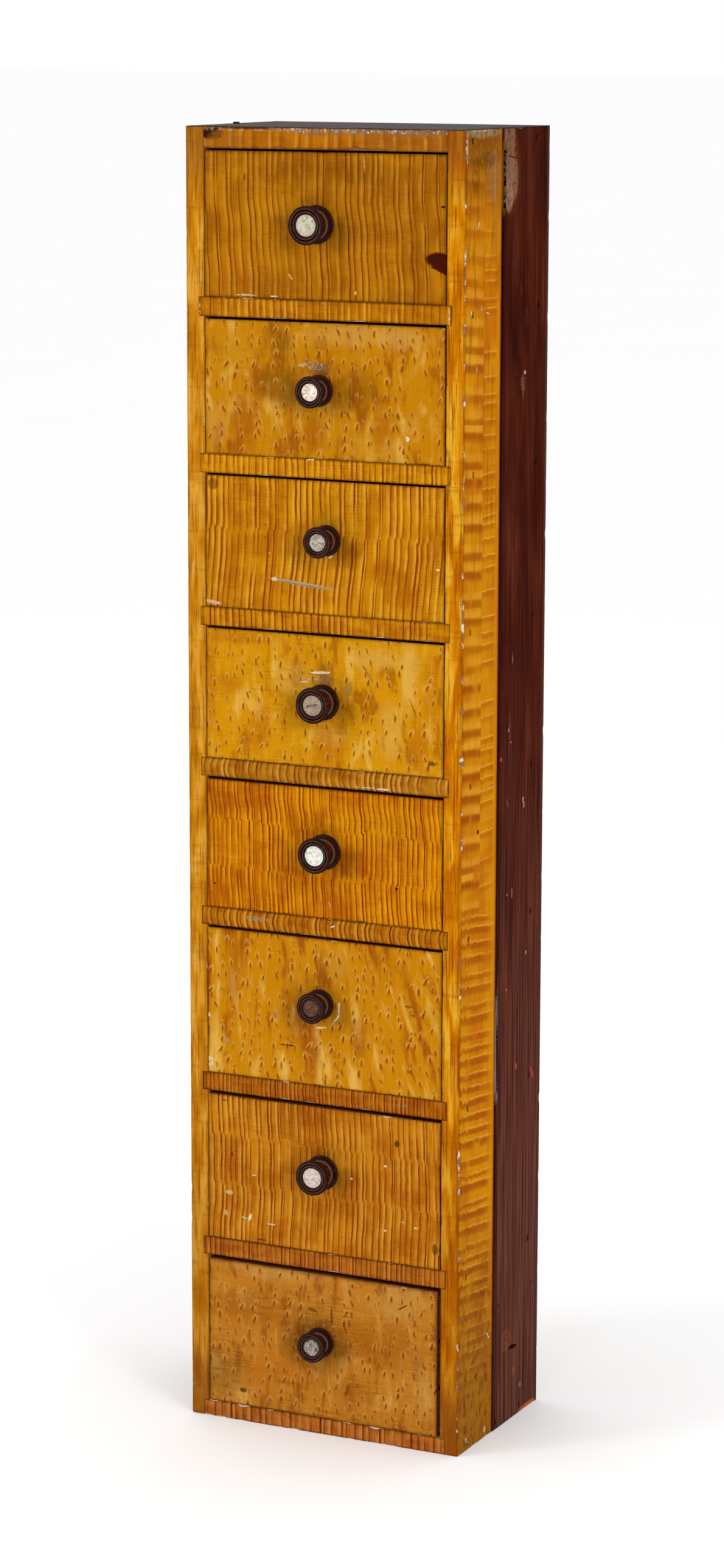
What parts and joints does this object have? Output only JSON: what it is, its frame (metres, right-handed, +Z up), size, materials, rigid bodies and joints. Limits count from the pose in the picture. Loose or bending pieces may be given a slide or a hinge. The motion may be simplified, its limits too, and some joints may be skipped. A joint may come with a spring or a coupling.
{
  "type": "spice drawer cabinet",
  "caption": "Tall, narrow nailed pine case holding a single column of dovetailed drawers, each with a turned wooden knob inlaid with shell.",
  "frame": {"origin": "middle of the case's base, between the sides and between the case front and the back board's rear face", "axes": "+Z up, +X to the right of someone who faces the drawers, drawers pull out along -Y"},
  "size_m": [0.2142, 0.1563, 0.9283],
  "materials": {
    "grained_pine": "worn ochre and umber graining under old varnish",
    "red_brown_paint": "dark red-brown paint on pine, satin",
    "dark_top_paint": "dark brown-grey brushed paint",
    "bare_pine": "old unpainted pine",
    "knob_wood": "dark turned hardwood, polished by use",
    "shell": "mother-of-pearl, glossy",
    "dark_filler": "dark coppery filler where the shell is gone",
    "nail_iron": "dark rusted iron"
  },
  "bodies": {
    "case": {"left_side_front_board": "grained_pine", "left_side_rear_board": "red_brown_paint", "right_side_front_board": "grained_pine", "right_side_rear_board": "red_brown_paint", "top_board": "dark_top_paint", "shelf_1": "grained_pine", "shelf_2": "grained_pine", "shelf_3": "grained_pine", "shelf_4": "grained_pine", "shelf_5": "grained_pine", "shelf_6": "grained_pine", "shelf_7": "grained_pine", "bottom_board": "grained_pine", "back_board": "bare_pine", "case_nails": "nail_iron", "back_nails": "nail_iron"},
    "drawer_1": {"drawer_front_1": "grained_pine", "drawer_sides_and_back_1": "bare_pine", "drawer_bottom_1": "bare_pine", "knob_1": "knob_wood", "knob_inlay_1": "shell"},
    "drawer_2": {"drawer_front_2": "grained_pine", "drawer_sides_and_back_2": "bare_pine", "drawer_bottom_2": "bare_pine", "knob_2": "knob_wood", "knob_inlay_2": "shell"},
    "drawer_3": {"drawer_front_3": "grained_pine", "drawer_sides_and_back_3": "bare_pine", "drawer_bottom_3": "bare_pine", "knob_3": "knob_wood", "knob_inlay_3": "shell"},
    "drawer_4": {"drawer_front_4": "grained_pine", "drawer_sides_and_back_4": "bare_pine", "drawer_bottom_4": "bare_pine", "knob_4": "knob_wood", "knob_inlay_4": "shell"},
    "drawer_5": {"drawer_front_5": "grained_pine", "drawer_sides_and_back_5": "bare_pine", "drawer_bottom_5": "bare_pine", "knob_5": "knob_wood", "knob_inlay_5": "shell"},
    "drawer_6": {"drawer_front_6": "grained_pine", "drawer_sides_and_back_6": "bare_pine", "drawer_bottom_6": "bare_pine", "knob_6": "knob_wood", "knob_inlay_6": "dark_filler"},
    "drawer_7": {"drawer_front_7": "grained_pine", "drawer_sides_and_back_7": "bare_pine", "drawer_bottom_7": "bare_pine", "knob_7": "knob_wood", "knob_inlay_7": "shell"},
    "drawer_8": {"drawer_front_8": "grained_pine", "drawer_sides_and_back_8": "bare_pine", "drawer_bottom_8": "bare_pine", "knob_8": "knob_wood", "knob_inlay_8": "shell"}
  },
  "joints": [
    {"name": "drawer_1_slide", "type": "slide", "parent": "case", "child": "drawer_1", "axis": [0, -1, 0], "range_m": [0, 0.105]},
    {"name": "drawer_2_slide", "type": "slide", "parent": "case", "child": "drawer_2", "axis": [0, -1, 0], "range_m": [0, 0.105]},
    {"name": "drawer_3_slide", "type": "slide", "parent": "case", "child": "drawer_3", "axis": [0, -1, 0], "range_m": [0, 0.105]},
    {"name": "drawer_4_slide", "type": "slide", "parent": "case", "child": "drawer_4", "axis": [0, -1, 0], "range_m": [0, 0.105]},
    {"name": "drawer_5_slide", "type": "slide", "parent": "case", "child": "drawer_5", "axis": [0, -1, 0], "range_m": [0, 0.105]},
    {"name": "drawer_6_slide", "type": "slide", "parent": "case", "child": "drawer_6", "axis": [0, -1, 0], "range_m": [0, 0.105]},
    {"name": "drawer_7_slide", "type": "slide", "parent": "case", "child": "drawer_7", "axis": [0, -1, 0], "range_m": [0, 0.105]},
    {"name": "drawer_8_slide", "type": "slide", "parent": "case", "child": "drawer_8", "axis": [0, -1, 0], "range_m": [0, 0.105]}
  ]
}
